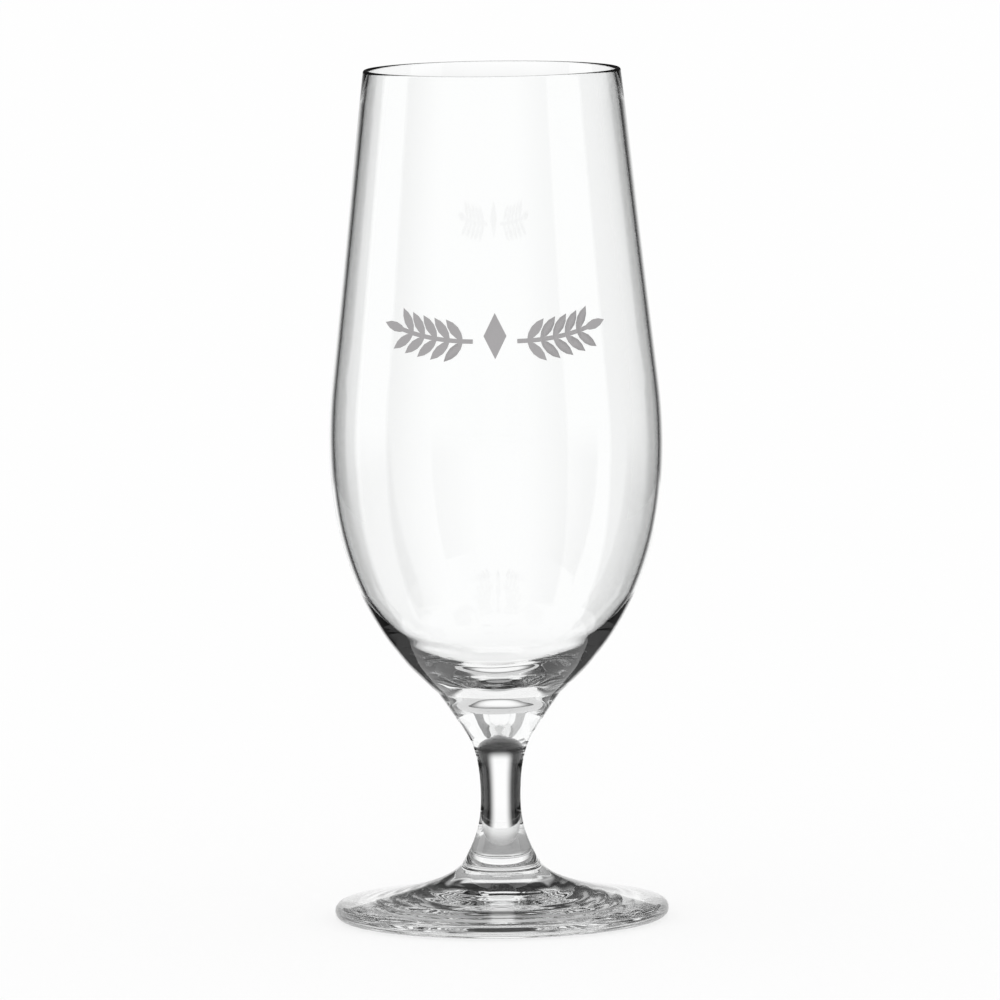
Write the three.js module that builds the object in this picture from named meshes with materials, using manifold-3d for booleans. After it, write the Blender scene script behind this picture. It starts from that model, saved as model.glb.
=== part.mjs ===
// A stemmed pilsner glass, built as stemware is made: a blown bowl, a stem and a spun foot,
// fused end to end, with a fired enamel print on the front of the bowl.
// Millimetres, +Z up. The origin is on the axis, on the plane that the foot stands on.
// The front, which carries the print, faces -Y.

import * as THREE from 'three';
import Module from 'manifold-3d';
import { mergeVertices } from 'three/addons/utils/BufferGeometryUtils.js';

// Driving dimensions, all in millimetres unless a comment says otherwise

// Heights, stacked from the table up
const KNEE_HEIGHT = 12.75; // where the foot's neck turns out into its plate
const FLARE_HEIGHT = 14.25; // from the knee up to the waist, the stem's thinnest place
const STEM_TAPER_HEIGHT = 25; // from the waist up to the bowl
const BELLY_HEIGHT = 71.7; // from the stem up to the shoulder, where the wall turns straight
const WALL_HEIGHT = 71.3; // from the shoulder up to the top of the rim

// Bowl, outside
const RIM_DIAMETER = 58.9;
const SHOULDER_DIAMETER = 74.94;
const BOWL_JOINT_DIAMETER = 28.2; // where the bowl is fused to the stem
const BOWL_JOINT_ANGLE = 49.9; // degrees between the outline and the axis
const BELLY_UPPER_PULL = 36; // how far the shoulder's tangent carries
const BELLY_LOWER_PULL = 20.8; // how far the joint's tangent carries

// Bowl, inside
const RIM_WALL = 1.2;
const BELLY_WALL = 1.2;
const FLOOR_THICKNESS = 2.9; // from the stem up to the floor of the cavity
const CAVITY_TURN_RISE = 20.4; // from that floor up to where the wall starts to thicken
const CAVITY_SIDE_PULL = 3.6;
const CAVITY_FLOOR_PULL = 20.4;

// Stem
const STEM_TOP_ANGLE = 33.4; // degrees between the outline and the axis
const STEM_TOP_PULL = 12;
const WAIST_DIAMETER = 9.2;
const WAIST_UPPER_PULL = 13.8;
const WAIST_LOWER_PULL = 5.8;
const FOOT_JOINT_DROP = 6; // from the waist down to where the stem is fused to the foot

// Foot
const FOOT_DIAMETER = 76.7;
const FOOT_EDGE_THICKNESS = 3.6;
const KNEE_DIAMETER = 17.6;
const KNEE_ANGLE = 30.5; // degrees between the outline and the axis
const KNEE_UPPER_PULL = 4.8;
const KNEE_LOWER_PULL = 4.3;
const PLATE_SLOPE = 8.5; // degrees that the plate's top rises from its edge
const PLATE_PULL = 17.5;
const REST_RING_WIDTH = 4; // the flat ring that the glass stands on
const HOLLOW_RISE = 2.4; // how far the underside is domed at the axis

// Print: two barley ears and a lozenge
const PRINT_RISE = 13.2; // from the shoulder up to the print's middle
const PRINT_THICKNESS = 0.15;
const PRINT_CLEARANCE = 0.3; // to the wall, so that flat facets stay off the round glass
const EAR_GAP = 5; // from the print's middle to where an ear's stalk starts
const EAR_LENGTH = 17.2;
const EAR_DROP = 1.2; // how far the stalk's start lies below the print's middle
const EAR_RISE = 2.4; // how far an ear's end stands above the stalk's start
const EAR_PULL = 9.2; // how far the stalk's level start carries
const STALK_WIDTH = 1;
const STALK_BARE_LENGTH = 2.2; // bare stalk before the first grains
const GRAIN_LENGTH = 6.4;
const GRAIN_WIDTH = 2.2;
const GRAIN_ANGLE = 48; // degrees that a grain leans away from the stalk
const GRAIN_PAIRS = 5;
const LOZENGE_WIDTH = 5.2;
const LOZENGE_HEIGHT = 10.4;

// Facets
const ROUND_STEPS = 64;
const BELLY_STEPS = 16;
const CAVITY_STEPS = 9; // down the side, and again round to the floor
const RIM_STEPS = 6;
const STEM_STEPS = 10;
const FLARE_STEPS = 4; // on each side of the foot joint
const PLATE_STEPS = 10;
const EDGE_STEPS = 8;
const HOLLOW_STEPS = 5;
const STALK_STEPS = 10;
const GRAIN_STEPS = 4; // along each side of a grain
const PRINT_FACET = 3; // longest edge on an ear, so that it bends round the bowl
const HALVINGS = 40; // when a height is sought on a curve

const point = (radius, height) => new THREE.Vector2(radius, height);

// A direction in the profile's plane, leaning outwards from straight up by an angle in degrees.
function leaning(angle) {
  const turn = THREE.MathUtils.degToRad(angle);
  return point(Math.sin(turn), Math.cos(turn));
}

// A point carried along a direction.
const along = (start, direction, distance) => start.clone().addScaledVector(direction, distance);

// A smooth profile curve between two points, with the two points that pull it.
const bend = (start, startPull, endPull, end) => new THREE.CubicBezierCurve(start, startPull, endPull, end);

// The share of a falling curve that lies above a height.
function shareAbove(curve, height) {
  let low = 0;
  let high = 1;
  for (let halving = 0; halving < HALVINGS; halving++) {
    const middle = (low + high) / 2;
    if (curve.getPoint(middle).y > height) low = middle;
    else high = middle;
  }
  return low;
}

// Shares that divide part of a curve evenly, both ends included.
function sharesBetween(from, to, steps) {
  return Array.from({ length: steps + 1 }, (_, step) => THREE.MathUtils.lerp(from, to, step / steps));
}

// The point that lies inside a falling outer curve by the wall's thickness.
function insideOf(curve, share, wall) {
  const down = curve.getTangent(share);
  return along(curve.getPoint(share), point(down.y, -down.x), wall);
}

// Points on a circle in the profile's plane, from one angle to another in degrees, 0 pointing out.
function arc(centre, radius, from, to, steps) {
  return sharesBetween(from, to, steps).map((angle) => along(centre, leaning(90 - angle), radius));
}

// A solid of revolution about +Z, from a profile that runs from the axis up round the outside and
// back to the axis.
function turned(profile) {
  const geometry = new THREE.LatheGeometry(profile, ROUND_STEPS);
  geometry.rotateX(Math.PI / 2);
  return geometry;
}

// Heights above the table

const waistHeight = KNEE_HEIGHT + FLARE_HEIGHT;
const footJointHeight = waistHeight - FOOT_JOINT_DROP;
const bowlJointHeight = waistHeight + STEM_TAPER_HEIGHT;
const shoulderHeight = bowlJointHeight + BELLY_HEIGHT;
const rimHeight = shoulderHeight + WALL_HEIGHT;
const printHeight = shoulderHeight + PRINT_RISE;

// Bowl

const shoulder = point(SHOULDER_DIAMETER / 2, shoulderHeight);
const bowlJoint = point(BOWL_JOINT_DIAMETER / 2, bowlJointHeight);

// The rim is fire polished to a half round as wide as the wall there.
const rimRound = RIM_WALL / 2;
const rimCentre = point(RIM_DIAMETER / 2 - rimRound, rimHeight - rimRound);
const rimArc = arc(rimCentre, rimRound, 0, 180, RIM_STEPS);

const wallDown = shoulder.clone().sub(rimArc[0]).normalize();
const bellyCurve = bend(
  shoulder,
  along(shoulder, wallDown, BELLY_UPPER_PULL),
  along(bowlJoint, leaning(BOWL_JOINT_ANGLE), BELLY_LOWER_PULL),
  bowlJoint,
);
const bowlOutside = [...bellyCurve.getPoints(BELLY_STEPS).reverse(), rimArc[0]];

function makeBowl() {
  // The cavity keeps the wall's thickness down the belly, then rounds off to its floor.
  const floor = point(0, bowlJointHeight + FLOOR_THICKNESS);
  const turnShare = shareAbove(bellyCurve, floor.y + CAVITY_TURN_RISE);
  const turn = insideOf(bellyCurve, turnShare, BELLY_WALL);
  const floorCurve = bend(
    turn,
    along(turn, bellyCurve.getTangent(turnShare), CAVITY_SIDE_PULL),
    point(CAVITY_FLOOR_PULL, floor.y),
    floor,
  );
  const cavity = [
    ...sharesBetween(0, turnShare, CAVITY_STEPS).map((share) => insideOf(bellyCurve, share, BELLY_WALL)),
    ...floorCurve.getPoints(CAVITY_STEPS).slice(1),
  ];
  return turned([point(0, bowlJointHeight), ...bowlOutside, ...rimArc.slice(1), ...cavity]);
}

// Stem. Its flare below the waist runs on into the foot, so both pieces are cut from one curve.

const waist = point(WAIST_DIAMETER / 2, waistHeight);
const knee = point(KNEE_DIAMETER / 2, KNEE_HEIGHT);
const neckDown = leaning(180 - KNEE_ANGLE);

const flareCurve = bend(
  waist,
  point(waist.x, waist.y - WAIST_LOWER_PULL),
  along(knee, neckDown, -KNEE_UPPER_PULL),
  knee,
);
const flareCut = shareAbove(flareCurve, footJointHeight);
const flareBetween = (from, to) =>
  sharesBetween(from, to, FLARE_STEPS).map((share) => flareCurve.getPoint(share));

function makeStem() {
  const taper = bend(
    bowlJoint,
    along(bowlJoint, leaning(STEM_TOP_ANGLE), -STEM_TOP_PULL),
    point(waist.x, waist.y + WAIST_UPPER_PULL),
    waist,
  );
  const outside = [...taper.getPoints(STEM_STEPS), ...flareBetween(0, flareCut).slice(1)].reverse();
  return turned([point(0, footJointHeight), ...outside, point(0, bowlJointHeight)]);
}

// Foot

function makeFoot() {
  const edgeRound = FOOT_EDGE_THICKNESS / 2;
  const edgeCentre = point(FOOT_DIAMETER / 2 - edgeRound, edgeRound);
  // The underside is domed a little, so that the glass stands on a ring.
  const hollowRadius = edgeCentre.x - REST_RING_WIDTH;
  const hollow = sharesBetween(0, 1, HOLLOW_STEPS).map((share) =>
    point(hollowRadius * share, HOLLOW_RISE * (1 - share * share)),
  );
  // The edge turns from the rest ring, round the widest place, up to the plate.
  const edge = arc(edgeCentre, edgeRound, -90, 90 - PLATE_SLOPE, EDGE_STEPS);
  const plateEdge = edge.at(-1);
  const plate = bend(
    plateEdge,
    along(plateEdge, leaning(PLATE_SLOPE - 90), PLATE_PULL),
    along(knee, neckDown, KNEE_LOWER_PULL),
    knee,
  );
  const neck = flareBetween(flareCut, 1).reverse();
  return turned([
    ...hollow,
    ...edge,
    ...plate.getPoints(PLATE_STEPS).slice(1),
    ...neck.slice(1),
    point(0, footJointHeight),
  ]);
}

// Print. Each motif is drawn flat, with u to the right and v up from the print's middle, given
// its thickness, and then laid round the bowl.

const wasm = await Module();
wasm.setup();

function solidFrom(geometry) {
  const bare = geometry.clone();
  bare.deleteAttribute('normal');
  bare.deleteAttribute('uv');
  const merged = mergeVertices(bare);
  return new wasm.Manifold(
    new wasm.Mesh({
      numProp: 3,
      vertProperties: merged.attributes.position.array,
      triVerts: new Uint32Array(merged.index.array),
    }),
  );
}

function geometryFrom(solid) {
  const mesh = solid.getMesh();
  const geometry = new THREE.BufferGeometry();
  geometry.setAttribute('position', new THREE.BufferAttribute(mesh.vertProperties, 3));
  geometry.setIndex(new THREE.BufferAttribute(mesh.triVerts, 1));
  return geometry;
}

const raised = (shape) =>
  new THREE.ExtrudeGeometry(shape, {
    depth: PRINT_THICKNESS,
    bevelEnabled: false,
    curveSegments: GRAIN_STEPS,
  });

// The radius of the bowl's outside at a height, between the points of its outline.
function bowlRadiusAt(height) {
  const above = bowlOutside.findIndex((outline) => outline.y >= height);
  const upper = bowlOutside[above];
  const lower = bowlOutside[above - 1];
  return THREE.MathUtils.mapLinear(height, lower.y, upper.y, lower.x, upper.x);
}

// Lays a flat motif round the front of the bowl, keeping its widths.
function laidOnBowl(flat) {
  const geometry = flat.clone();
  const spots = geometry.attributes.position;
  const printRadius = bowlRadiusAt(printHeight);
  for (let i = 0; i < spots.count; i++) {
    const height = printHeight + spots.getY(i);
    const turn = spots.getX(i) / printRadius;
    const radius = bowlRadiusAt(height) + PRINT_CLEARANCE + spots.getZ(i);
    spots.setXYZ(i, radius * Math.sin(turn), -radius * Math.cos(turn), height);
  }
  return geometry;
}

// A grain is a pointed oval from its base at the origin along u.
function grainShape() {
  const shape = new THREE.Shape();
  shape.quadraticCurveTo(GRAIN_LENGTH / 2, GRAIN_WIDTH, GRAIN_LENGTH, 0);
  shape.quadraticCurveTo(GRAIN_LENGTH / 2, -GRAIN_WIDTH, 0, 0);
  return shape;
}

// The stalk is a ribbon of even width along its curve.
function stalkShape(stalk) {
  const shares = sharesBetween(0, 1, STALK_STEPS);
  const side = (offset) =>
    shares.map((share) => {
      const ahead = stalk.getTangent(share);
      return along(stalk.getPoint(share), point(-ahead.y, ahead.x), offset);
    });
  return new THREE.Shape([...side(-STALK_WIDTH / 2), ...side(STALK_WIDTH / 2).reverse()]);
}

// One ear, growing to the right of the lozenge.
function makeEar() {
  const start = point(EAR_GAP, -EAR_DROP);
  const end = point(EAR_GAP + EAR_LENGTH, EAR_RISE - EAR_DROP);
  const stalk = new THREE.QuadraticBezierCurve(start, point(start.x + EAR_PULL, start.y), end);
  const stalkLength = stalk.getLength();
  let ear = solidFrom(raised(stalkShape(stalk)));

  const addGrain = (distance, lean) => {
    const share = distance / stalkLength;
    const spot = stalk.getPointAt(share);
    const grain = raised(grainShape());
    grain.rotateZ(stalk.getTangentAt(share).angle() + THREE.MathUtils.degToRad(lean));
    grain.translate(spot.x, spot.y, 0);
    ear = ear.add(solidFrom(grain));
  };
  const grainStep = (stalkLength - STALK_BARE_LENGTH) / GRAIN_PAIRS;
  for (let pair = 0; pair < GRAIN_PAIRS; pair++) {
    const distance = STALK_BARE_LENGTH + pair * grainStep;
    addGrain(distance, GRAIN_ANGLE);
    addGrain(distance, -GRAIN_ANGLE);
  }
  addGrain(stalkLength - STALK_WIDTH, 0); // the end grain is seated in the stalk
  return ear.refineToLength(PRINT_FACET);
}

function makeLozenge() {
  const across = LOZENGE_WIDTH / 2;
  const up = LOZENGE_HEIGHT / 2;
  return raised(new THREE.Shape([point(across, 0), point(0, up), point(-across, 0), point(0, -up)]));
}

// Materials

const glass = new THREE.MeshStandardMaterial({
  color: 0xf4f6f6,
  roughness: 0.03,
  metalness: 0,
  transparent: true,
  opacity: 0.35,
});
const enamel = new THREE.MeshStandardMaterial({ color: 0xa8a6a7, roughness: 0.5, metalness: 0 });

// Assembly

const pilsnerGlass = new THREE.Group();

function addPiece(name, geometry, material) {
  const mesh = new THREE.Mesh(geometry, material);
  mesh.name = name;
  pilsnerGlass.add(mesh);
}

addPiece('bowl', makeBowl(), glass);
addPiece('stem', makeStem(), glass);
addPiece('foot', makeFoot(), glass);
const ear = makeEar();
addPiece('print_ear_right', laidOnBowl(geometryFrom(ear)), enamel);
addPiece('print_ear_left', laidOnBowl(geometryFrom(ear.mirror([1, 0, 0]))), enamel);
addPiece('print_lozenge', laidOnBowl(makeLozenge()), enamel);

export default pilsnerGlass;
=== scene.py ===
# %% [markdown]
# # A stemmed pilsner glass
# A beer glass of this kind is three pieces of clear glass that were fused end to end while hot: a
# blown bowl, a short stem and a spun foot. A small print of fired enamel sits on the front.
#
# The construction model gives the sizes and the places. This lesson loads it as a fixed frame and
# turns a finer surface for each piece on the same outlines. It then builds a studio round the
# glass, because clear glass has no colour of its own and shows only what stands around it.

# %% Load the frame
import math
from collections import namedtuple

import bmesh
import bpy
from mathutils import Matrix, Vector


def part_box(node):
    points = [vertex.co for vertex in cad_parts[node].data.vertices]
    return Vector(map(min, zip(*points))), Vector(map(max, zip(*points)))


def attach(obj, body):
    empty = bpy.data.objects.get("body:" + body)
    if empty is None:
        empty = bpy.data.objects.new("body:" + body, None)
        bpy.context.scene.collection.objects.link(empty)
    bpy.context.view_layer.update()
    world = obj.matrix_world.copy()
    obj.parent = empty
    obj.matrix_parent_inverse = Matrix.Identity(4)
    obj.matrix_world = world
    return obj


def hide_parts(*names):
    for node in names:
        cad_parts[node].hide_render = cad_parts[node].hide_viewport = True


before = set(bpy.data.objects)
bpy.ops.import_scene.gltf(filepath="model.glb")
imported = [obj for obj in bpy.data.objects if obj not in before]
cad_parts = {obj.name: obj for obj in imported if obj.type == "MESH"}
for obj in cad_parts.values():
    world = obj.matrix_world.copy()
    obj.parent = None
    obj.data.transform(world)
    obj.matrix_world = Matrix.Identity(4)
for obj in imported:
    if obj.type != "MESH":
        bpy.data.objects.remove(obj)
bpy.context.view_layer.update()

MM = 0.001  # the scene is in metres, and the sizes of a glass are told in millimetres
scene = bpy.context.scene
scene.view_settings.view_transform = "Standard"
print("nodes in the frame:", ", ".join(sorted(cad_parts)))

# %% [markdown]
# ## Camera
# The picture was taken from well back with a long lens, from a little above the rim: the rim shows
# as a flatter ellipse than the foot. The ratio of those two ellipses gives the distance and the
# height of the camera, and the height of the glass in the picture gives the focal length. The glass
# leans a trace in the picture. It stands upright here, so the camera is rolled by as much.

# %% Camera
CAMERA_DISTANCE = 2450 * MM  # from the axis of the glass, along the table
CAMERA_HEIGHT = 347 * MM
CAMERA_TILT = 5.847  # degrees down
CAMERA_ROLL = 0.71  # degrees
CAMERA_PAN = 0.016  # degrees to the right
LENS = 387.3  # millimetres of focal length
SENSOR_WIDTH = 36.0  # millimetres

camera = bpy.data.objects.new("camera", bpy.data.cameras.new("camera"))
camera.data.lens = LENS
camera.data.sensor_width = SENSOR_WIDTH
camera.location = (0, -CAMERA_DISTANCE, CAMERA_HEIGHT)
look = Matrix.Rotation(math.radians(-CAMERA_PAN), 4, "Z")
look @= Matrix.Rotation(math.radians(90 - CAMERA_TILT), 4, "X")
look @= Matrix.Rotation(math.radians(-CAMERA_ROLL), 4, "Z")
camera.rotation_euler = look.to_euler()
scene.collection.objects.link(camera)
scene.camera = camera
print("camera at", tuple(round(c, 3) for c in camera.location), "with a", LENS, "mm lens")

# %% [markdown]
# ## Wiring shaders
# A material is a graph of nodes. Written out node by node it is long and hard to read, so one small
# class stands for a socket. Sums, products and comparisons of wires add their Math nodes by
# themselves, and one method adds any other node: its settings first, then the values or links of
# its sockets.


# %% Wires
class Wire:
    """A socket in a shader tree. Arithmetic on wires adds Math nodes to the tree."""

    def __init__(self, tree, socket=None):
        self.tree = tree
        self.socket = socket

    def node(self, kind, settings=None, values=None, output=0):
        """Adds a node, sets it up, gives its sockets values or links, and returns one output."""
        made = self.tree.nodes.new(kind)
        for name, setting in (settings or {}).items():
            setattr(made, name, setting)
        for name, value in (values or {}).items():
            if isinstance(value, Wire):
                self.tree.links.new(value.socket, made.inputs[name])
            else:
                made.inputs[name].default_value = value
        return Wire(self.tree, made.outputs[output] if made.outputs else None)

    def math(self, operation, first, second=0.0):
        return self.node("ShaderNodeMath", {"operation": operation}, {0: first, 1: second})

    def __add__(self, other):
        return self.math("ADD", self, other)

    def __radd__(self, other):
        return self.math("ADD", other, self)

    def __sub__(self, other):
        return self.math("SUBTRACT", self, other)

    def __rsub__(self, other):
        return self.math("SUBTRACT", other, self)

    def __mul__(self, other):
        return self.math("MULTIPLY", self, other)

    def __rmul__(self, other):
        return self.math("MULTIPLY", other, self)

    def __gt__(self, other):
        return self.math("GREATER_THAN", self, other)

    def __lt__(self, other):
        return self.math("LESS_THAN", self, other)

    def axes(self):
        """The three numbers of a vector wire."""
        split = self.node("ShaderNodeSeparateXYZ", None, {0: self}).socket.node
        return [Wire(self.tree, split.outputs[axis]) for axis in "XYZ"]

    def ramp(self, start, end):
        """A soft step from 0 at start to 1 at end."""
        return self.node(
            "ShaderNodeMapRange",
            {"interpolation_type": "SMOOTHSTEP"},
            {"Value": self, "From Min": start, "From Max": end},
        )


def new_material(name):
    """A material with an empty tree, and the wire that adds its nodes."""
    material = bpy.data.materials.new(name)
    material.use_nodes = True
    material.node_tree.nodes.clear()
    return material, Wire(material.node_tree)


def show(wires, shader):
    """Ends a tree with the shader that its surface shows."""
    wires.node("ShaderNodeOutputMaterial", None, {"Surface": shader})


def place(wires):
    """The point on the surface, in metres."""
    return wires.node("ShaderNodeNewGeometry", None, None, "Position")


def stretched(wires, stretch):
    """The point on the surface, with each axis scaled, for a pattern with a grain."""
    values = {0: place(wires), 1: stretch}
    return wires.node("ShaderNodeVectorMath", {"operation": "MULTIPLY"}, values)


def noise(wires, point, scale=1.0):
    """Soft random blotches between 0 and 1, with so many to the metre."""
    return wires.node("ShaderNodeTexNoise", None, {"Vector": point, "Scale": scale})


def mixed(wires, share, first, second):
    """A colour between two colours."""
    values = {"Factor": share, "A": first, "B": second}
    return wires.node("ShaderNodeMix", {"data_type": "RGBA"}, values, "Result")


print("the wires are ready")

# %% [markdown]
# ## Clear glass
# Soda glass is smooth and almost without colour. What tells it from a perfect lens is small: faint
# upright waves from blowing, a tint that isn't quite even, and scuffs on the ring that slides over
# tables. A Glass node would do for the first look. A Principled node with full transmission is
# taken instead, because a glTF file can say the same thing. Its one roughness is zero everywhere
# but on the scuffed ring, and the waves go in through a Bump node.

# %% Clear glass
GLASS_INDEX = 1.5
TINT = (0.996, 0.998, 0.997, 1)
TINT_COOL = (0.992, 0.998, 0.996, 1)
TINT_BLOTCHES = 30  # to the metre
WAVE_GRAIN = (60, 60, 9)  # to the metre: blown waves run up and down, so they are closer across
WAVE_HEIGHT = 0.012 * MM
SCUFF_TOP = 0.35 * MM  # above the table
SCUFF_SPECKS = 900  # to the metre
SCUFF_EDGE = (0.45, 0.65)  # of the noise, from clear glass to the middle of a speck
SCUFF_ROUGHNESS = 0.3


def clear_glass():
    material, wires = new_material("clear_glass")
    height = place(wires).axes()[2]
    low = height.ramp(SCUFF_TOP, 0.0)
    specks = noise(wires, place(wires), SCUFF_SPECKS).ramp(*SCUFF_EDGE)
    waves = noise(wires, stretched(wires, WAVE_GRAIN))
    blown = wires.node("ShaderNodeBump", None, {"Distance": WAVE_HEIGHT, "Height": waves})
    cloud = noise(wires, place(wires), TINT_BLOTCHES)
    shader = wires.node(
        "ShaderNodeBsdfPrincipled",
        None,
        {
            "Base Color": mixed(wires, cloud, TINT, TINT_COOL),
            "Roughness": low * specks * SCUFF_ROUGHNESS,
            "Normal": blown,
            "IOR": GLASS_INDEX,
            "Transmission Weight": 1.0,
        },
    )
    show(wires, shader)
    return material


GLASS = clear_glass()
print("clear glass has", len(GLASS.node_tree.nodes), "nodes")

# %% [markdown]
# ## Where two pieces have run together
# The pieces meet face to face. On the real glass the hot pieces flow into one and nothing shows at
# the joint. Two glass faces back to back would show as a mirror, so the faces of a joint wear a
# second material that lets light straight through.


# %% Fused joint
def fused_joint():
    material, wires = new_material("fused_joint")
    show(wires, wires.node("ShaderNodeBsdfTransparent"))
    return material


JOINT = fused_joint()
print("joint faces wear", JOINT.name)

# %% [markdown]
# ## Enamel
# The print is glass powder in grey pigment, screened on and fired. It ends up a satin film with a
# fine tooth, a little uneven in depth. The tooth is a fine noise on a Bump node, and the same two
# noises shift the colour and the gloss by a few per cent.

# %% Enamel
ENAMEL_GREY = (0.40, 0.39, 0.395, 1)
ENAMEL_DEEP = (0.36, 0.35, 0.355, 1)
ENAMEL_CLOUDS = 260  # to the metre
ENAMEL_GRAINS = 5000  # to the metre
CLOUD_SHARE = 0.6  # of the shift in colour
GRAIN_SHARE = 0.4
ENAMEL_TOOTH = 0.004 * MM
ENAMEL_SATIN = 0.42
ENAMEL_DRY = 0.2  # added where the film is thin


def enamel():
    material, wires = new_material("enamel")
    clouds = noise(wires, place(wires), ENAMEL_CLOUDS)
    grains = noise(wires, place(wires), ENAMEL_GRAINS)
    depth = clouds * CLOUD_SHARE + grains * GRAIN_SHARE
    tooth = wires.node("ShaderNodeBump", None, {"Distance": ENAMEL_TOOTH, "Height": grains})
    shader = wires.node(
        "ShaderNodeBsdfPrincipled",
        None,
        {
            "Base Color": mixed(wires, depth, ENAMEL_GREY, ENAMEL_DEEP),
            "Roughness": ENAMEL_SATIN + clouds * ENAMEL_DRY,
            "Normal": tooth,
        },
    )
    show(wires, shader)
    return material


ENAMEL = enamel()
print("enamel has", len(ENAMEL.node_tree.nodes), "nodes")

# %% [markdown]
# ## Outlines
# Every glass piece is round, so one half outline says it all. The outline is a chain of straight
# runs, arcs and cubic curves in a plane: across is the distance from the axis, up is the height. A
# cubic curve needs only its two ends and how hard each end pulls in which direction, and those are
# the sizes that a glass maker would change.

# %% Outline tools
HALVINGS = 40  # of a curve, to find a height on it


def spread(start, end, steps):
    """Numbers evenly spread from start to end, both included."""
    return [start + (end - start) * step / steps for step in range(steps + 1)]


def leaning(angle):
    """A direction in the outline's plane that leans outwards from straight up, in degrees."""
    turn = math.radians(angle)
    return Vector((math.sin(turn), math.cos(turn)))


def arc(centre, radius, start, end, steps):
    """Points on an arc, from one angle to another, in degrees up from straight out."""
    return [centre + radius * leaning(90 - angle) for angle in spread(start, end, steps)]


class Bend:
    """A cubic curve between two outline points, with the two points that pull it."""

    def __init__(self, start, start_pull, end_pull, end):
        self.points = [Vector(p) for p in (start, start_pull, end_pull, end)]

    def at(self, share):
        """The point at a share of the curve."""
        rest = 1 - share
        a, b, c, d = self.points
        return rest**3 * a + 3 * rest**2 * share * b + 3 * rest * share**2 * c + share**3 * d

    def heading(self, share):
        """The direction at a share of the curve."""
        rest = 1 - share
        a, b, c, d = self.points
        return (rest**2 * (b - a) + 2 * rest * share * (c - b) + share**2 * (d - c)).normalized()

    def share_above(self, height):
        """The share of a falling curve that lies above a height."""
        low, high = 0.0, 1.0
        for _ in range(HALVINGS):
            middle = (low + high) / 2
            if self.at(middle).y > height:
                low = middle
            else:
                high = middle
        return low

    def run(self, start, end, steps):
        """Points along the curve from one share of it to another."""
        return [self.at(share) for share in spread(start, end, steps)]

    def inside(self, share, wall):
        """The point that lies inside a falling outer curve by the wall's thickness."""
        down = self.heading(share)
        return self.at(share) + wall * Vector((down.y, -down.x))


print("a quarter arc of 1 ends at", [round(c, 3) for c in arc(Vector((0, 0)), 1, 0, 90, 4)[-1]])

# %% [markdown]
# ## Turning
# A Screw or Spin modifier could turn the outline. Turning it in mesh code gives three things that
# they don't: the poles on the axis come out as clean fans of triangles, the faces of a joint get
# their own material, and a wave can be pressed into the surface on the way. Glass needs many steps
# round: light that bounces about inside a thick base shows every facet.

# %% Lathe
ROUND_STEPS = 384
SHARP_EDGE = 35  # degrees
ON_AXIS = 1e-6 * MM
FIRST_SPAN = 0


def rings(point, turn, length, wobbles):
    """The swing, from -1 to 1, of rings in the skin that run round the axis and wander a little."""
    wander = sum(depth * math.sin(lobes * turn + start) for lobes, start, depth in wobbles)
    return math.sin(2 * math.pi * point.x / length + wander)


def last_span(outline):
    """The number of the span that closes an outline on the axis."""
    return len(outline) - 2


def ring_of(bm, point, wave):
    """One ring of corners, or a single corner on the axis."""
    if point.x < ON_AXIS:
        return [bm.verts.new((0, 0, point.y))]
    ring = []
    for step in range(ROUND_STEPS):
        turn = 2 * math.pi * step / ROUND_STEPS
        height = point.y + wave(point, turn)
        ring.append(bm.verts.new((point.x * math.cos(turn), point.x * math.sin(turn), height)))
    return ring


def turned(name, outline, joints, wave):
    """A piece turned about Z from an outline that starts and ends on the axis. The spans of the
    outline whose numbers are in joints wear the joint's material, and the wave lifts the skin."""
    bm = bmesh.new()
    loops = [ring_of(bm, point, wave) for point in outline]
    for number, (low, high) in enumerate(zip(loops, loops[1:])):
        for step in range(ROUND_STEPS):
            after = (step + 1) % ROUND_STEPS
            corners = [low[step % len(low)], low[after % len(low)]]
            corners += [high[after % len(high)], high[step % len(high)]]
            face = bm.faces.new(list(dict.fromkeys(corners)))
            face.smooth = True
            face.material_index = 1 if number in joints else 0
    bmesh.ops.recalc_face_normals(bm, faces=bm.faces)
    mesh = bpy.data.meshes.new(name)
    bm.to_mesh(mesh)
    bm.free()
    mesh.set_sharp_from_angle(angle=math.radians(SHARP_EDGE))
    mesh.materials.append(GLASS)
    mesh.materials.append(JOINT)
    piece = bpy.data.objects.new(name, mesh)
    scene.collection.objects.link(piece)
    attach(piece, "root")
    print(name, "has", len(mesh.polygons), "faces")
    return piece


# %% [markdown]
# ## Heights
# The frame knows where each piece starts and ends. The heights of the rim and of the two joints and
# the reach of the foot are read from it. What the boxes can't tell is written out, such as a wall
# or a height within a piece.

# %% Heights
bowl_low, bowl_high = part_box("bowl")
stem_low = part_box("stem")[0]
foot_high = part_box("foot")[1]
RIM_HEIGHT = bowl_high.z
BOWL_JOINT_HEIGHT = bowl_low.z
FOOT_JOINT_HEIGHT = stem_low.z
SHOULDER_HEIGHT = 123.7 * MM
WAIST_HEIGHT = 27 * MM
KNEE_HEIGHT = 12.75 * MM
print("rim at", round(RIM_HEIGHT / MM, 2), "mm")
print("joint of bowl and stem at", round(BOWL_JOINT_HEIGHT / MM, 2), "mm")
print("joint of stem and foot at", round(FOOT_JOINT_HEIGHT / MM, 2), "mm")

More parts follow.
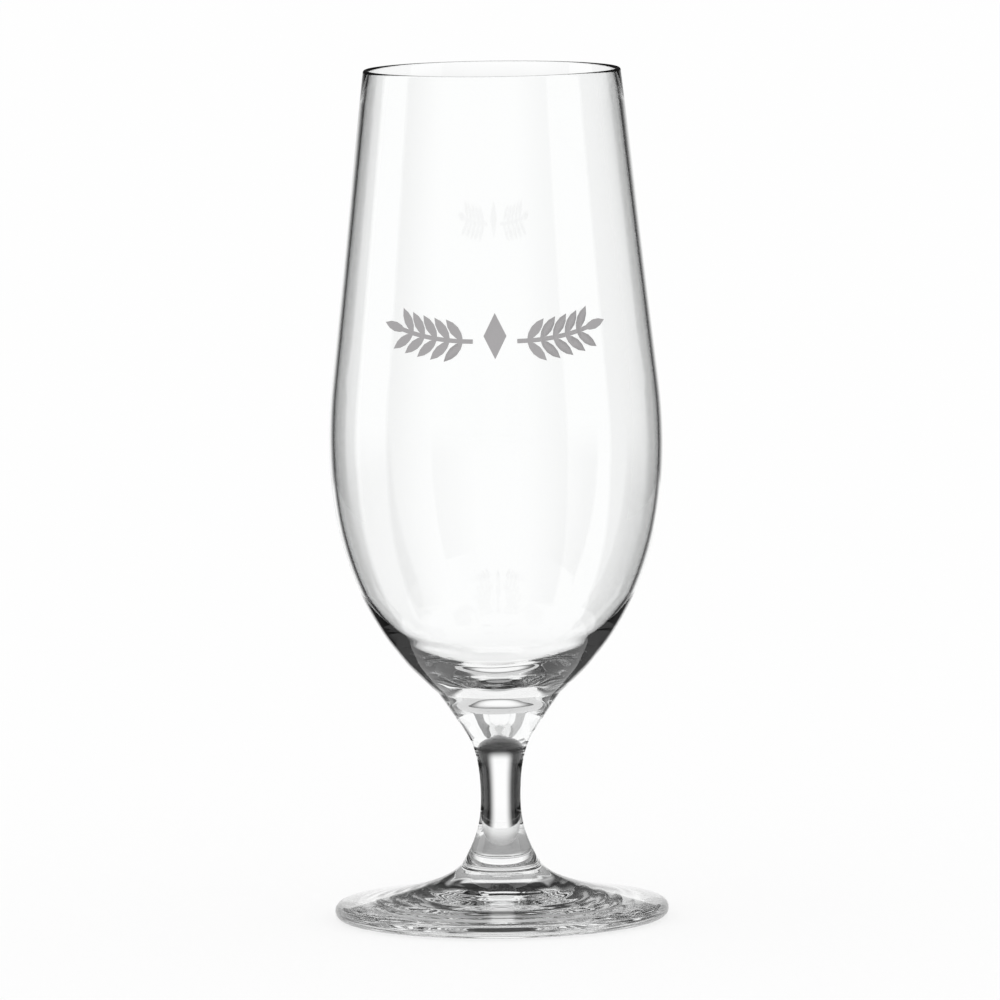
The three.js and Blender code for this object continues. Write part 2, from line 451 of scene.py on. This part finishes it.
# %% [markdown]
# ## Bowl
# The bowl is blown: an even thin wall with a rounded rim, leaning in a little towards the top, and
# a thick base where the glass gathered. The outline goes up the outside, over the rim and down the
# inside. The inner wall is the outer one moved in by the wall's thickness as far as the turn, and
# a curve of its own makes the round floor. A Solidify modifier would keep the wall the same all
# the way down and lose the heavy base, which is where this glass has its dark lens. Where the hot
# bowl was pressed on to the stem the skin isn't quite smooth: faint rings, a few hundredths of a
# millimetre high, bend the light in the base into bright swirls.

# %% Bowl
RIM_RADIUS = 29.45 * MM
SHOULDER_RADIUS = 37.47 * MM
BOWL_JOINT_RADIUS = 14.1 * MM
BOWL_JOINT_LEAN = 49.9  # degrees from straight up
BELLY_TOP_PULL = 36 * MM
BELLY_LOW_PULL = 20.8 * MM
RIM_WALL = 1.2 * MM
BELLY_WALL = 1.2 * MM
FLOOR_THICKNESS = 2.9 * MM
CAVITY_TURN_RISE = 20.4 * MM  # above the cavity's floor
CAVITY_SIDE_PULL = 3.6 * MM
CAVITY_FLOOR_PULL = 20.4 * MM
SWIRL_HEIGHT = 0.06 * MM
SWIRL_LENGTH = 5.5 * MM
SWIRL_REACH = 16 * MM  # above and below the joint
SWIRL_FADE = 3 * MM
SWIRL_WOBBLES = ((3, 0.4, 0.9), (4, 1.7, 0.7))  # lobes, turn and depth of each
RIM_STEPS = 16
WALL_STEPS = 10
BELLY_STEPS = 100
BELLY_INSIDE_STEPS = 30
CAVITY_STEPS = 90

shoulder = Vector((SHOULDER_RADIUS, SHOULDER_HEIGHT))
bowl_joint = Vector((BOWL_JOINT_RADIUS, BOWL_JOINT_HEIGHT))
rim_round = RIM_WALL / 2
rim_centre = Vector((RIM_RADIUS - rim_round, RIM_HEIGHT - rim_round))
rim = arc(rim_centre, rim_round, 0, 180, RIM_STEPS)
wall_down = (shoulder - rim[0]).normalized()
belly = Bend(
    shoulder,
    shoulder + BELLY_TOP_PULL * wall_down,
    bowl_joint + BELLY_LOW_PULL * leaning(BOWL_JOINT_LEAN),
    bowl_joint,
)
cavity_bottom = Vector((0, BOWL_JOINT_HEIGHT + FLOOR_THICKNESS))
turn_share = belly.share_above(cavity_bottom.y + CAVITY_TURN_RISE)
cavity_turn = belly.inside(turn_share, BELLY_WALL)
cavity = Bend(
    cavity_turn,
    cavity_turn + CAVITY_SIDE_PULL * belly.heading(turn_share),
    cavity_bottom + Vector((CAVITY_FLOOR_PULL, 0)),
    cavity_bottom,
)
inner_shoulder = belly.inside(0, BELLY_WALL)
bowl_outline = [Vector((0, BOWL_JOINT_HEIGHT))]
bowl_outline += belly.run(0, 1, BELLY_STEPS)[::-1]
bowl_outline += [shoulder.lerp(rim[0], share) for share in spread(0, 1, WALL_STEPS)][1:]
bowl_outline += rim[1:]
bowl_outline += [rim[-1].lerp(inner_shoulder, share) for share in spread(0, 1, WALL_STEPS)][1:]
bowl_outline += [belly.inside(s, BELLY_WALL) for s in spread(0, turn_share, BELLY_INSIDE_STEPS)][1:]
bowl_outline += cavity.run(0, 1, CAVITY_STEPS)[1:]


def swirl(point, turn):
    """How far the skin is pressed up or down at one place near the joint of bowl and stem."""
    away = abs(point.y - BOWL_JOINT_HEIGHT)
    fade = min(SWIRL_FADE, away, SWIRL_REACH - away, point.x) / SWIRL_FADE
    return SWIRL_HEIGHT * max(0, fade) * rings(point, turn, SWIRL_LENGTH, SWIRL_WOBBLES)


bowl = turned("bowl_glass", bowl_outline, {FIRST_SPAN}, swirl)
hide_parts("bowl")

# %% [markdown]
# ## Stem
# The stem is drawn out of hot glass, so it thins in one long taper to a waist and flares again
# towards the foot. Two cubic curves that share an upright direction at the waist do the same. The
# lower curve is cut at the height where the frame puts the joint with the foot.

# %% Stem
STEM_TOP_LEAN = 33.4  # degrees from straight up
STEM_TOP_PULL = 12 * MM
WAIST_RADIUS = 4.6 * MM
WAIST_TOP_PULL = 13.8 * MM
WAIST_LOW_PULL = 5.8 * MM
KNEE_RADIUS = 8.8 * MM
KNEE_LEAN = 30.5  # degrees from straight down
KNEE_TOP_PULL = 4.8 * MM
TAPER_STEPS = 50
FLARE_STEPS = 20

waist = Vector((WAIST_RADIUS, WAIST_HEIGHT))
knee = Vector((KNEE_RADIUS, KNEE_HEIGHT))
knee_down = leaning(180 - KNEE_LEAN)
taper = Bend(
    bowl_joint,
    bowl_joint - STEM_TOP_PULL * leaning(STEM_TOP_LEAN),
    waist + Vector((0, WAIST_TOP_PULL)),
    waist,
)
flare = Bend(waist, waist - Vector((0, WAIST_LOW_PULL)), knee - KNEE_TOP_PULL * knee_down, knee)
cut = flare.share_above(FOOT_JOINT_HEIGHT)
stem_outline = [Vector((0, FOOT_JOINT_HEIGHT))]
stem_outline += flare.run(0, cut, FLARE_STEPS)[::-1]
stem_outline += taper.run(0, 1, TAPER_STEPS)[::-1][1:]
stem_outline += [Vector((0, BOWL_JOINT_HEIGHT))]
stem = turned("stem_glass", stem_outline, {FIRST_SPAN, last_span(stem_outline)}, swirl)
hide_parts("stem")

# %% [markdown]
# ## Foot
# The foot is spun out flat from a knee under the stem, with a fire-polished round edge. It stands
# on a narrow ring, and inside the ring the underside is hollow. The tool that opens the hot disc
# leaves shallow rings there, which nobody feels and everybody sees: through the plate they make
# nested bright and dark lines. They are real waves in the mesh, a few hundredths of a millimetre
# high, and not a bump, so the mesh itself carries them. A slow wobble round the foot keeps them
# from looking machined.

# %% Foot
EDGE_ROUND = 1.8 * MM
REST_RING_WIDTH = 4 * MM
HOLLOW_RISE = 2.4 * MM
PLATE_SLOPE = 8.5  # degrees
PLATE_PULL = 17.5 * MM
KNEE_LOW_PULL = 4.3 * MM
RIPPLE_HEIGHT = 0.022 * MM
RIPPLE_LENGTH = 3.8 * MM
RIPPLE_START = 4 * MM  # from the axis
RIPPLE_FADE = 4 * MM
RIPPLE_WOBBLES = ((3, 0.6, 1.2), (5, 2.0, 0.8), (7, 1.1, 0.3))  # lobes, turn and depth of each
HOLLOW_STEPS = 120
EDGE_STEPS = 20
PLATE_STEPS = 90

edge_centre = Vector((foot_high.x - EDGE_ROUND, EDGE_ROUND))
hollow_radius = edge_centre.x - REST_RING_WIDTH


def ripple(point, turn):
    """How far the underside of the foot is pressed up or down at one place."""
    underneath = point.y <= HOLLOW_RISE and RIPPLE_START < point.x < hollow_radius
    if not underneath:
        return 0
    fade_in = min(1, (point.x - RIPPLE_START) / RIPPLE_FADE)
    fade_out = min(1, (hollow_radius - point.x) / RIPPLE_FADE)
    swing = rings(point, turn, RIPPLE_LENGTH, RIPPLE_WOBBLES)
    return RIPPLE_HEIGHT * fade_in * fade_out * swing


hollow = [
    Vector((hollow_radius * share, HOLLOW_RISE * (1 - share * share)))
    for share in spread(0, 1, HOLLOW_STEPS)
]
edge = arc(edge_centre, EDGE_ROUND, -90, 90 - PLATE_SLOPE, EDGE_STEPS)
plate = Bend(
    edge[-1],
    edge[-1] + PLATE_PULL * leaning(PLATE_SLOPE - 90),
    knee + KNEE_LOW_PULL * knee_down,
    knee,
)
foot_outline = hollow + edge
foot_outline += plate.run(0, 1, PLATE_STEPS)[1:]
foot_outline += flare.run(cut, 1, FLARE_STEPS)[::-1][1:]
foot_outline += [Vector((0, FOOT_JOINT_HEIGHT))]
foot = turned("foot_glass", foot_outline, {last_span(foot_outline)}, ripple)
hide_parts("foot")

# %% [markdown]
# ## Print
# Two ears of barley lie end to end with a lozenge between them. The frame holds each motif as a thin
# plate that stands just off the wall. On the real glass it is a film that was fired on. The outward
# faces of each plate have the right outline, so they are kept, cut into narrow upright strips that
# can follow the round wall, slid on to the wall and given the film's thickness. A decal texture
# would be quicker, but it would leave nothing in the mesh.

# %% Print
FACING_OUT = 0.7  # least cosine between a face and straight out
FLAT_ENOUGH = 12  # degrees between faces that are one face of the motif
STRIP_REACH = 60  # degrees to each side of the front
STRIP_COUNT = 96
FILM_GAP = 0.02 * MM
FILM_THICKNESS = 0.04 * MM
SAME_CORNER = 0.001 * MM


def keep_outward(bm):
    """Leaves only the faces of a motif that look away from the axis."""
    bm.normal_update()
    others = []
    for face in bm.faces:
        middle = face.calc_center_median()
        out = Vector((middle.x, middle.y, 0)).normalized()
        if face.normal.dot(out) < FACING_OUT:
            others.append(face)
    bmesh.ops.delete(bm, geom=others, context="FACES")
    limit = math.radians(FLAT_ENOUGH)
    bmesh.ops.dissolve_limit(bm, angle_limit=limit, verts=bm.verts, edges=bm.edges)


def cut_upright(bm):
    """Cuts the faces by planes through the axis, so that they can bend round it."""
    for angle in spread(-STRIP_REACH, STRIP_REACH, STRIP_COUNT):
        turn = math.radians(angle)
        bmesh.ops.bisect_plane(
            bm,
            geom=bm.verts[:] + bm.edges[:] + bm.faces[:],
            plane_co=(0, 0, 0),
            plane_no=(math.cos(turn), math.sin(turn), 0),
        )
    bmesh.ops.triangulate(bm, faces=bm.faces)


def lay_on_wall(bm):
    """Slides every corner along its own radius on to the bowl's straight wall."""
    lean = (rim[0].x - shoulder.x) / (rim[0].y - shoulder.y)
    for corner in bm.verts:
        radius = shoulder.x + (corner.co.z - shoulder.y) * lean + FILM_GAP
        out = Vector((corner.co.x, corner.co.y, 0)).normalized() * radius
        corner.co = Vector((out.x, out.y, corner.co.z))


def laid_print(node):
    """The enamel film of one motif."""
    bm = bmesh.new()
    bm.from_mesh(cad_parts[node].data)
    bmesh.ops.remove_doubles(bm, verts=bm.verts, dist=SAME_CORNER)
    keep_outward(bm)
    cut_upright(bm)
    lay_on_wall(bm)
    bmesh.ops.solidify(bm, geom=bm.faces[:], thickness=-FILM_THICKNESS)
    bmesh.ops.recalc_face_normals(bm, faces=bm.faces)
    mesh = bpy.data.meshes.new(node + "_enamel")
    bm.to_mesh(mesh)
    bm.free()
    mesh.materials.append(ENAMEL)
    piece = bpy.data.objects.new(node + "_enamel", mesh)
    scene.collection.objects.link(piece)
    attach(piece, "root")
    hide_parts(node)
    print(piece.name, "has", len(mesh.polygons), "faces")


for motif in ("print_ear_left", "print_ear_right", "print_lozenge"):
    laid_print(motif)

# %% [markdown]
# ## Table and daylight
# The glass stands on a white table in even white light. Most of the table's white is its own light,
# so that it stays white to the edges, and the rest is a matt white that still takes the soft shadow
# of the glass. A light on the object would blow it out, and there is nothing on clear glass for a
# lamp to light: the world alone does it.

# %% Table and daylight
TABLE_REACH = 6.0  # metres to each side
TABLE_DROP = 0.3 * MM  # a hair under the foot
TABLE_GLOW = 0.75
TABLE_WHITE = (0.97, 0.97, 0.97, 1)
WHITE = (1, 1, 1, 1)


def stage_mesh(name, points, faces, material):
    """A thing of the studio, which isn't part of the glass."""
    mesh = bpy.data.meshes.new(name)
    mesh.from_pydata(points, [], faces)
    mesh.materials.append(material)
    thing = bpy.data.objects.new(name, mesh)
    scene.collection.objects.link(thing)
    return thing


def table_top():
    material, wires = new_material("table")
    matt = wires.node("ShaderNodeBsdfDiffuse", None, {"Color": TABLE_WHITE})
    own_light = wires.node("ShaderNodeEmission", None, {"Color": WHITE})
    show(wires, wires.node("ShaderNodeMixShader", None, {0: TABLE_GLOW, 1: matt, 2: own_light}))
    return material


corners = [(-1, -1), (1, -1), (1, 1), (-1, 1)]
table_points = [(x * TABLE_REACH, y * TABLE_REACH, -TABLE_DROP) for x, y in corners]
stage_mesh("floor", table_points, [(0, 1, 2, 3)], table_top())
world = bpy.data.worlds.new("daylight")
scene.world = world
world.use_nodes = True
world.node_tree.nodes["Background"].inputs["Color"].default_value = WHITE
world.node_tree.nodes["Background"].inputs["Strength"].default_value = 1.0
print("table", 2 * TABLE_REACH, "m wide in white daylight")

# %% [markdown]
# ## Cards
# In a white room clear glass would vanish. Photographers stand black and grey cards round it, just
# outside the picture, and the glass draws itself with their reflections. The cards here do the same
# work: the camera doesn't see them, they throw no shadow and they tint nothing but the glass.
#
# A real card can be bent or cut until only one part of the glass sees it. Here the Light Path node
# does the cutting. Its Transmission Depth counts how often the light has gone through a surface:
# four times or more through the hollow bowl, twice through the solid stem and foot, never where it
# was only mirrored. Its Glossy Depth counts mirrorings: light that is caught in the thick base
# turns about there many times before it gets out. A card is told the least and the most of each
# count that it answers to, and other light goes straight through it.
#
# Bearings are degrees round the glass from straight behind it, to the right positive. A tone that
# fades is white at the first of its two bearings or heights and at its level at the second.

# %% Card tools
PASSES = "Transmission Depth"
MIRRORINGS = "Glossy Depth"
MANY = 99
EVERY_RAY = {}
MIRROR_OR_SOLID = {PASSES: (0, 3)}
MIRRORED = {PASSES: (0, 3), MIRRORINGS: (1, MANY)}
MIRROR_ONCE = {PASSES: (0, 0), MIRRORINGS: (1, 1)}
SOLID_STRAIGHT = {PASSES: (2, 3), MIRRORINGS: (0, 0)}
SOLID_TURNED = {PASSES: (2, 3), MIRRORINGS: (1, 1)}
SOLID_TURNED_TWICE = {PASSES: (2, 3), MIRRORINGS: (2, 2)}
BOWL_ONLY = {PASSES: (4, MANY)}
BASE_TURNED = {PASSES: (4, 4), MIRRORINGS: (1, 1)}
CAUGHT = {MIRRORINGS: (3, MANY)}
CAUGHT_LONG = {MIRRORINGS: (6, MANY)}
HALF_COUNT = 0.5  # a limit lies halfway between two counts
CARD_STEPS = 24
WHOLE_ROUND = (-180, 180)


class Spot:
    """The point of a card that is being shaded: its bearing, its height, how far out it is."""

    def __init__(self, wires):
        x, y, self.height = place(wires).axes()
        self.distance = wires.math("SQRT", x * x + y * y)
        self.bearing = wires.math("ABSOLUTE", wires.math("ARCTAN2", x, y)) * math.degrees(1)


def plain(level):
    """A tone that is the same all over."""
    return lambda wires: (level, level, level, 1)


def fading(level, across=None, up=None):
    """White that turns to a level across some bearings, up some heights, or both."""

    def tone(wires):
        spot = Spot(wires)
        dark = 1 - level
        if across:
            dark = spot.bearing.ramp(*across) * dark
        if up:
            dark = spot.height.ramp(*up) * dark
        return 1 - dark

    return tone


def window(level, across, up):
    """White inside a soft-edged window, and a level outside it."""

    def tone(wires):
        spot = Spot(wires)
        inside = (1 - spot.bearing.ramp(*across)) * (1 - spot.height.ramp(*up))
        return level + inside * (1 - level)

    return tone


def lighter_out(inner, outer, reach):
    """One level near the axis and another further out."""

    def tone(wires):
        return inner + Spot(wires).distance.ramp(*reach) * (outer - inner)

    return tone


def glow(name, tone, rays):
    """A card's material: its tone as plain light, and nothing at all for the other rays."""
    material, wires = new_material(name)
    shader = wires.node("ShaderNodeEmission", None, {"Color": tone(wires)})
    for count, (least, most) in rays.items():
        depth = wires.node("ShaderNodeLightPath", None, None, count)
        seen = (depth > least - HALF_COUNT) * (depth < most + HALF_COUNT)
        clear = wires.node("ShaderNodeBsdfTransparent")
        shader = wires.node("ShaderNodeMixShader", None, {0: seen, 1: clear, 2: shader})
    show(wires, shader)
    return material


def card(name, near, far, bearings, tone, rays):
    """A card bent round the glass between two (radius, height) points and two bearings."""
    points = []
    for angle in spread(*bearings, CARD_STEPS):
        turn = math.radians(angle)
        for radius, height in (near, far):
            points.append((radius * math.sin(turn), radius * math.cos(turn), height))
    faces = [(2 * i, 2 * i + 2, 2 * i + 3, 2 * i + 1) for i in range(CARD_STEPS)]
    made = stage_mesh(name, points, faces, glow(name, tone, rays))
    made.visible_camera = False
    made.visible_diffuse = False
    made.visible_shadow = False


def wall(name, radius, heights, bearings, tone, rays):
    """An upright card."""
    low, high = heights
    card(name, (radius, low), (radius, high), bearings, tone, rays)


def flat(name, height, reach, bearings, tone, rays):
    """A level card, on the table or over the glass."""
    near, far = reach
    card(name, (near, height), (far, height), bearings, tone, rays)


print("cards have", CARD_STEPS, "steps each")

# %% [markdown]
# ## Left and right
# The two sides of the studio aren't alike: the white strip on the left of the bowl is crisper, with
# darker glass beside it. Each side is a record of its own. The gap is the pair of bearings between
# which no card stands. The fade is the pair at which the cards in front of the gap are white and at
# their full grey. The rest are levels, from 0 for black to 1 for white.

# %% Left and right
Side = namedtuple("Side", "name sign gap fade flag grey dark mat stroke")
LEFT = Side(
    name="left",
    sign=-1,
    gap=(68, 100),
    fade=(140, 100),
    flag=0.1,
    grey=0.1,
    dark=0.05,
    mat=0.05,
    stroke=0.45,
)
RIGHT = Side(
    name="right",
    sign=1,
    gap=(96, 131),
    fade=(165, 131),
    flag=0.3,
    grey=0.4,
    dark=0.1,
    mat=0.08,
    stroke=0.2,
)
SIDES = (LEFT, RIGHT)


def between(side, start, end):
    """Two bearings on one side of the glass."""
    return (side.sign * start, side.sign * end)


for side in SIDES:
    print("gap on the", side.name, "is", side.gap[1] - side.gap[0], "degrees wide")

# %% [markdown]
# ## Behind the glass
# A white window stands straight behind, with dark card round it, for mirrored light and for the
# solid glass. The bowl has two thin walls and would show it sharp, so it sees the table and the
# daylight instead and gets only a soft grey at each side, which draws its edges. A lamp high on the
# right comes out as small white spots on the foot. A grey strip is for light that turned twice
# inside the neck under the bowl, and gives the band there its tone.

# %% Cards behind
FAR = 800 * MM
HAIR = 10 * MM  # between cards at one place
BACK_REACH = 35  # degrees
BEHIND = (-BACK_REACH, BACK_REACH)
SCREEN_TOP = 950 * MM
SCREEN_DARK = 0.03
WINDOW_ACROSS = (12, 29)
WINDOW_UP = (100 * MM, 220 * MM)
EDGE_TOP = 200 * MM
EDGE_ACROSS = (6, 27)
EDGE_DARK = 0.05
LAMP_HEIGHTS = (660 * MM, 800 * MM)
LAMP_ACROSS = (15, 27)
LAMP_LEVEL = 1.0
BAND_HEIGHTS = (200 * MM, 700 * MM)
BAND_LEVEL = 0.65

screen = window(SCREEN_DARK, WINDOW_ACROSS, WINDOW_UP)
wall("screen", FAR, (0, SCREEN_TOP), BEHIND, screen, MIRROR_OR_SOLID)
edge_tone = fading(EDGE_DARK, across=EDGE_ACROSS)
for side in SIDES:
    edge_span = between(side, EDGE_ACROSS[0], BACK_REACH)
    wall("edge_" + side.name, FAR - HAIR, (0, EDGE_TOP), edge_span, edge_tone, BOWL_ONLY)
front_row = FAR - 2 * HAIR
wall("lamp", front_row, LAMP_HEIGHTS, LAMP_ACROSS, plain(LAMP_LEVEL), SOLID_TURNED)
wall("neck_light", front_row, BAND_HEIGHTS, BEHIND, plain(BAND_LEVEL), SOLID_TURNED_TWICE)
print("screen at", FAR, "m with a window", 2 * WINDOW_ACROSS[0], "degrees wide")

# %% [markdown]
# ## Over the glass
# A dark band hangs over the back of the glass for mirrored light. Two strips hang higher, one at
# each side, for light that turned once on its way up through the thick base. They come out as the
# two slanting strokes on the neck under the bowl. The neck swaps the sides, so the darker strip is
# on the right and its stroke is on the left.

# %% Cards over the glass
CEILING_HEIGHT = 500 * MM
CEILING_REACH = (50 * MM, 270 * MM)
CEILING_ACROSS = (-80, 80)
CEILING_DARK = 0.08
STROKE_HEIGHT = 600 * MM
STROKE_REACH = (180 * MM, 290 * MM)
STROKE_ACROSS = (65, 130)

flat("ceiling", CEILING_HEIGHT, CEILING_REACH, CEILING_ACROSS, plain(CEILING_DARK), MIRRORED)
for side in SIDES:
    stroke_span = between(side, *STROKE_ACROSS)
    stroke_tone = plain(side.stroke)
    flat("neck_shade_" + side.name, STROKE_HEIGHT, STROKE_REACH, stroke_span, stroke_tone, BASE_TURNED)
print("ceiling at", CEILING_HEIGHT, "m, strips at", STROKE_HEIGHT, "m")

# %% [markdown]
# ## Beside the glass
# The bowl's round front mirrors the sides of the studio. The two gaps between the cards, one on each
# side, are the two long white strips that run down the bowl. The cards in front of a gap are darkest
# at the gap and fade out from it, as a card does that is turned away. What the bowl shows through
# its two walls has to stay white at the table, so the cards that every ray sees fade in with height,
# and nearer ones, for mirrored light only, go all the way down.

# %% Cards beside
MIDDLE = 600 * MM
SIDE_HEIGHTS = (0, 600 * MM)
LOW_HEIGHTS = (0, 170 * MM)
RISE = (0, 150 * MM)

for side in SIDES:
    rear = between(side, BACK_REACH, side.gap[0])
    fore = between(side, side.gap[1], side.fade[0])
    fore_tone = fading(side.grey, side.fade)
    fore_tone_rising = fading(side.grey, side.fade, RISE)
    wall("flag_" + side.name, FAR, SIDE_HEIGHTS, rear, fading(side.flag, up=RISE), EVERY_RAY)
    wall("grey_" + side.name, FAR, SIDE_HEIGHTS, fore, fore_tone_rising, EVERY_RAY)
    wall("dark_" + side.name, MIDDLE, SIDE_HEIGHTS, rear, plain(side.dark), MIRRORED)
    wall("low_grey_" + side.name, MIDDLE, LOW_HEIGHTS, fore, fore_tone, MIRRORED)
print("side cards at", FAR, "and", MIDDLE, "m")

# %% [markdown]
# ## Round the stem and the foot
# The stem is a thick lens and shows a wide view behind it very small. A dark sleeve stands close
# behind it with a soft window in the middle, which comes out as the white strip down the stem. A
# collar on the sleeve leaves the middle free and darkens the stem's upper sides. Both stand close
# for a reason: the back wall, seen through the mouth, passes light as often as the stem does, and
# cards further off would show there as a dark lid. A low white strip at the same place is mirrored
# by the two ends of the foot.

# %% Cards round the stem
CLOSE = 60 * MM
PLATE_HEIGHTS = (1 * MM, 16 * MM)
PLATE_ACROSS = (-90, 90)
PLATE_LEVEL = 0.97
SLEEVE_TOP = 70 * MM
SLEEVE_REACH = 75  # degrees
SLEEVE_DARK = 0.0
STRIP_ACROSS = (7, 23)
STRIP_UP = (42 * MM, 54 * MM)
COLLAR_HEIGHTS = (SLEEVE_TOP, 92 * MM)
COLLAR_START = 20  # degrees
COLLAR_DARK = 0.05

wall("plate_light", CLOSE, PLATE_HEIGHTS, PLATE_ACROSS, plain(PLATE_LEVEL), MIRROR_ONCE)
sleeve_tone = window(SLEEVE_DARK, STRIP_ACROSS, STRIP_UP)
wall("sleeve", CLOSE, (0, SLEEVE_TOP), (-SLEEVE_REACH, SLEEVE_REACH), sleeve_tone, SOLID_STRAIGHT)
for side in SIDES:
    collar_span = between(side, COLLAR_START, SLEEVE_REACH)
    collar_tone = plain(COLLAR_DARK)
    wall("collar_" + side.name, CLOSE, COLLAR_HEIGHTS, collar_span, collar_tone, SOLID_STRAIGHT)
print("sleeve", CLOSE / MM, "mm from the axis, with its collar up to", COLLAR_HEIGHTS[1] / MM, "mm")

# %% [markdown]
# ## On the table
# The lower half of the bowl looks down, so it mirrors the table, and the cards go on there as mats
# with the same gaps. The sleeve goes on too, as two short mats of the same dark. The table right
# under the foot lies in the shade of the thick glass: a round mat, grey under the stem and lighter
# towards the edge of the foot, is that shade. Each mat lies a trace higher than the one before.

# %% Cards on the table
UNDER = 40 * MM
MAT_REACH = (90 * MM, FAR)
MAT_HEIGHT = -0.2 * MM
MAT_ACROSS = (18, 28)
STEM_MAT_REACH = (UNDER, CLOSE)
STEM_MAT_HEIGHT = -0.15 * MM
SHADE_HEIGHT = -0.1 * MM
SHADE_REACH = (14 * MM, 36 * MM)
SHADE_GREY = 0.34
SHADE_PALE = 0.8

stem_tone = fading(SLEEVE_DARK, STRIP_ACROSS)
for side in SIDES:
    rear = between(side, MAT_ACROSS[0], side.gap[0])
    fore = between(side, side.gap[1], side.fade[0])
    stem_span = between(side, STRIP_ACROSS[0], SLEEVE_REACH)
    rear_tone = fading(side.mat, MAT_ACROSS)
    fore_tone = fading(side.grey, side.fade)
    flat("mat_" + side.name, MAT_HEIGHT, MAT_REACH, rear, rear_tone, MIRRORED)
    flat("mat_grey_" + side.name, MAT_HEIGHT, MAT_REACH, fore, fore_tone, MIRRORED)
    stem_mat = "stem_mat_" + side.name
    flat(stem_mat, STEM_MAT_HEIGHT, STEM_MAT_REACH, stem_span, stem_tone, SOLID_STRAIGHT)
shade = lighter_out(SHADE_GREY, SHADE_PALE, SHADE_REACH)
flat("shade_under", SHADE_HEIGHT, (0, UNDER), WHOLE_ROUND, shade, EVERY_RAY)
print("mats from", MAT_REACH[0] / MM, "mm, and a shade of", UNDER / MM, "mm under the foot")

# %% [markdown]
# ## Light that is caught in the glass
# In the thick base of the bowl and in the foot, light turns about until it has lost its way, and
# comes out dim and from the sides of the room. Two dark cards, a round mat that is dark in the
# middle and a close dark ring with a gap give that light its tone. The round mat is painted shade:
# the table right under the foot lies in the foot's own shade, dark under the stem and pale towards
# the edge of the foot. The cards answer only to light that was mirrored several times, so the clear
# wall above doesn't see them.

# %% Cards for caught light
INNER = 450 * MM
INNER_HEIGHTS = (0, 800 * MM)
INNER_START = 55  # degrees
INNER_DARK = 0.06
INNER_MAT_HEIGHT = -0.05 * MM
INNER_MAT_REACH = (17 * MM, 31 * MM)
INNER_MAT_DARK = 0.01
INNER_MAT_PALE = 0.95
RING = 52 * MM
LOW_RING_HEIGHTS = (0, 5 * MM)
LOW_RING_DARK = 0.1
HIGH_RING_HEIGHTS = (20 * MM, 85 * MM)
HIGH_RING_DARK = 0.05

for side in SIDES:
    inner_span = between(side, INNER_START, WHOLE_ROUND[1])
    wall("inner_" + side.name, INNER, INNER_HEIGHTS, inner_span, plain(INNER_DARK), CAUGHT)
# The round mat is painted shade: the table under the foot lies in the foot's own shade, darkest under
# the stem.
inner_mat = lighter_out(INNER_MAT_DARK, INNER_MAT_PALE, INNER_MAT_REACH)
flat("inner_mat", INNER_MAT_HEIGHT, (0, UNDER), WHOLE_ROUND, inner_mat, CAUGHT)
wall("low_ring", RING, LOW_RING_HEIGHTS, WHOLE_ROUND, plain(LOW_RING_DARK), CAUGHT_LONG)
wall("high_ring", RING, HIGH_RING_HEIGHTS, WHOLE_ROUND, plain(HIGH_RING_DARK), CAUGHT_LONG)
print("the ring stands", RING / MM, "mm from the axis")

# %% [markdown]
# ## Following the light far enough
# Light in glass needs many steps before it gets out. The usual limit of a dozen would leave black
# holes in the base and the foot. The grain that is left over is cleaned by the denoiser.

# %% Light paths
PATH_STEPS = 32
scene.cycles.use_denoising = True
scene.cycles.max_bounces = PATH_STEPS
scene.cycles.transmission_bounces = PATH_STEPS
scene.cycles.transparent_max_bounces = PATH_STEPS
scene.cycles.glossy_bounces = PATH_STEPS // 2
print("light is followed for", PATH_STEPS, "steps")
